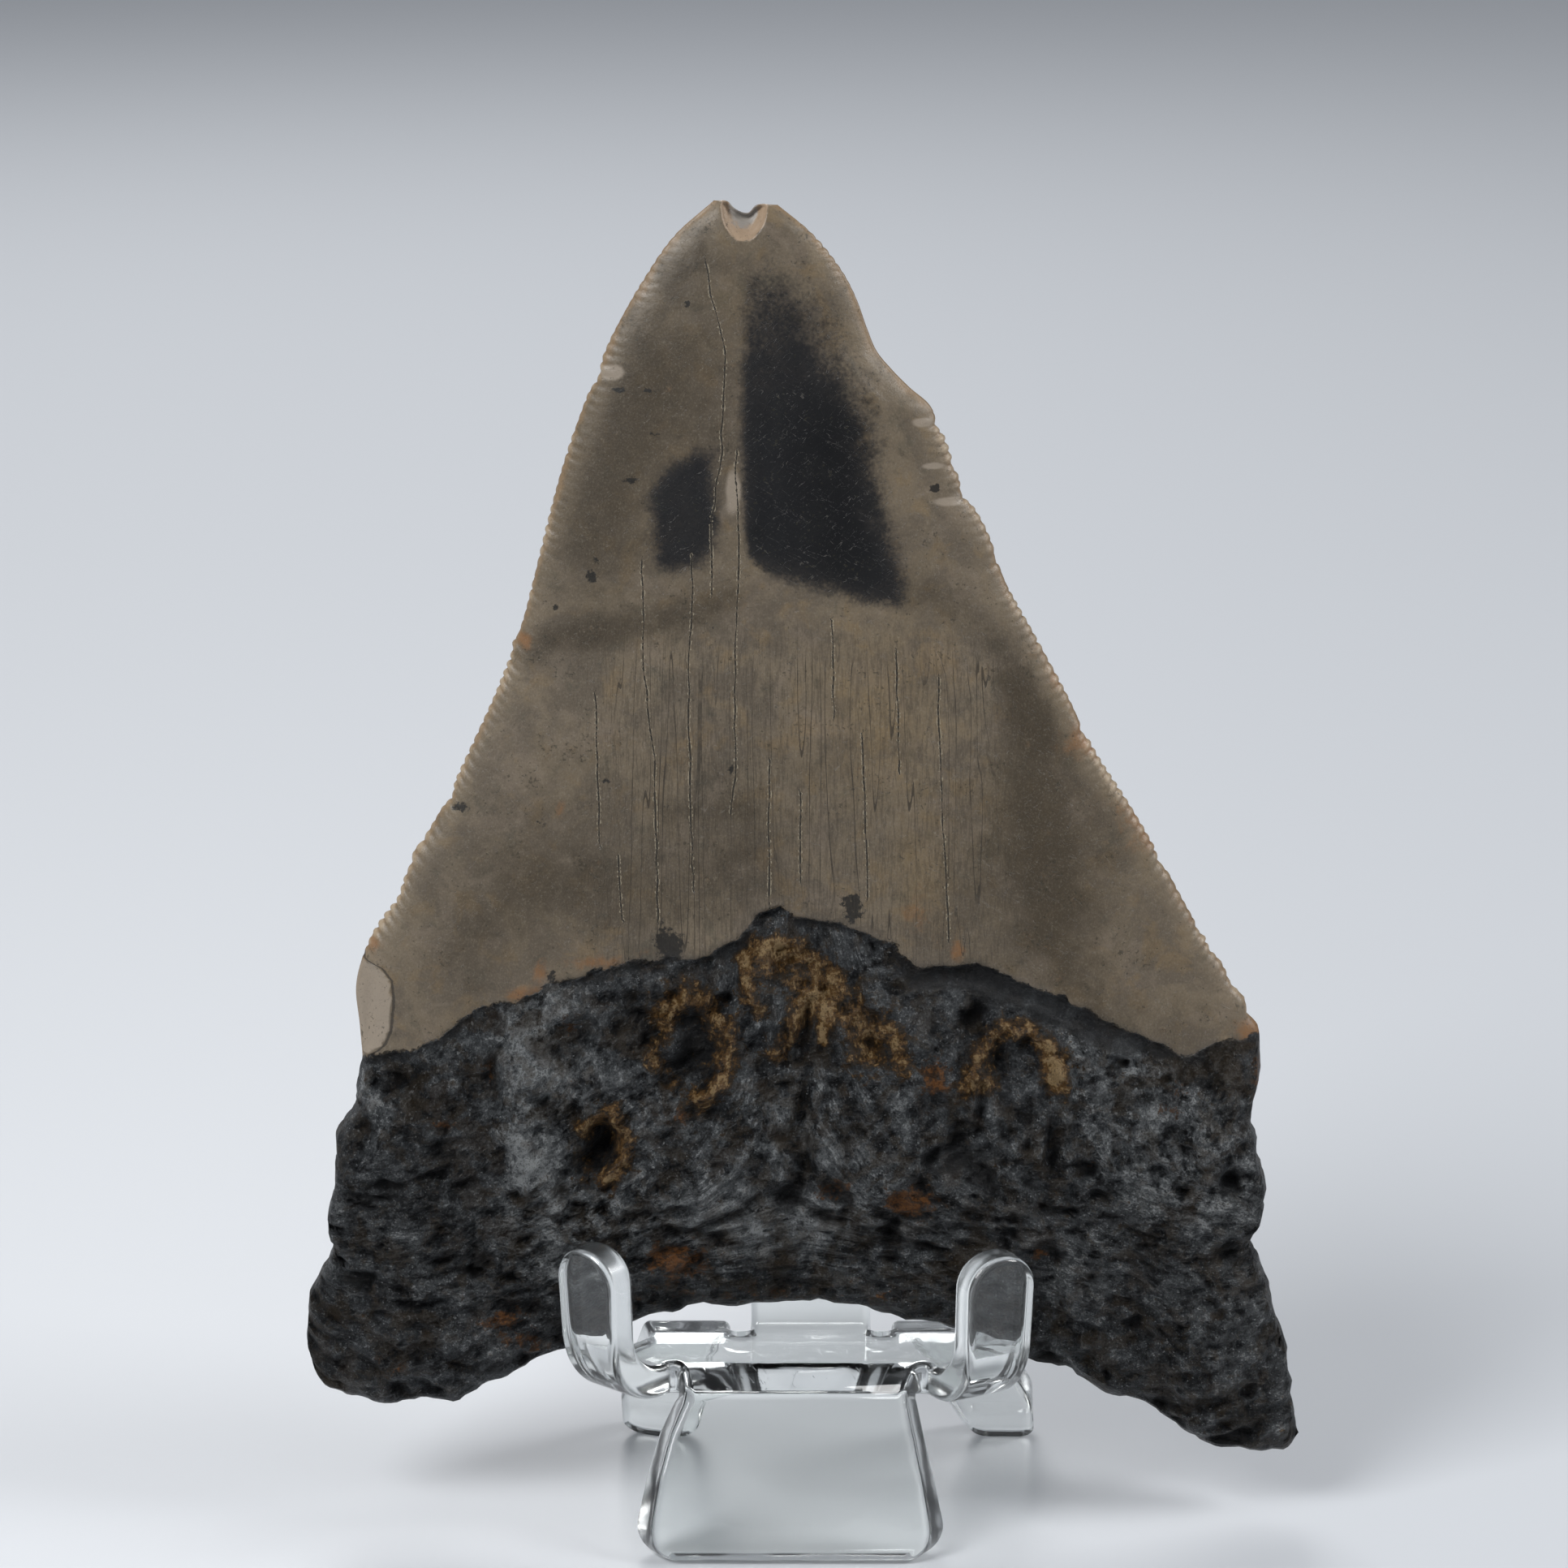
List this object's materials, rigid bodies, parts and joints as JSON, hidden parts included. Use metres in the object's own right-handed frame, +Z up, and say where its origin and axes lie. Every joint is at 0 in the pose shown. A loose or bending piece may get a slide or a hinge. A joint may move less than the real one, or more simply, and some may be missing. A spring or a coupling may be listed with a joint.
{
  "type": "megalodon tooth on a clear display easel",
  "caption": "Large fossil shark tooth with serrated crown and rough dark root, leaning on a bent clear acrylic easel.",
  "frame": {"origin": "on the table, under the middle of the box round the tooth and its easel", "axes": "+Z up, +Y away from the viewer of the tooth's displayed face, +X to that viewer's right"},
  "size_m": [0.0944, 0.0414, 0.1237],
  "materials": {
    "fossil_tooth": "satin enamel crown, rough matte root",
    "clear_acrylic": "clear, polished"
  },
  "bodies": {
    "root": {"tooth": "fossil_tooth", "display_stand": "clear_acrylic"}
  },
  "joints": []
}
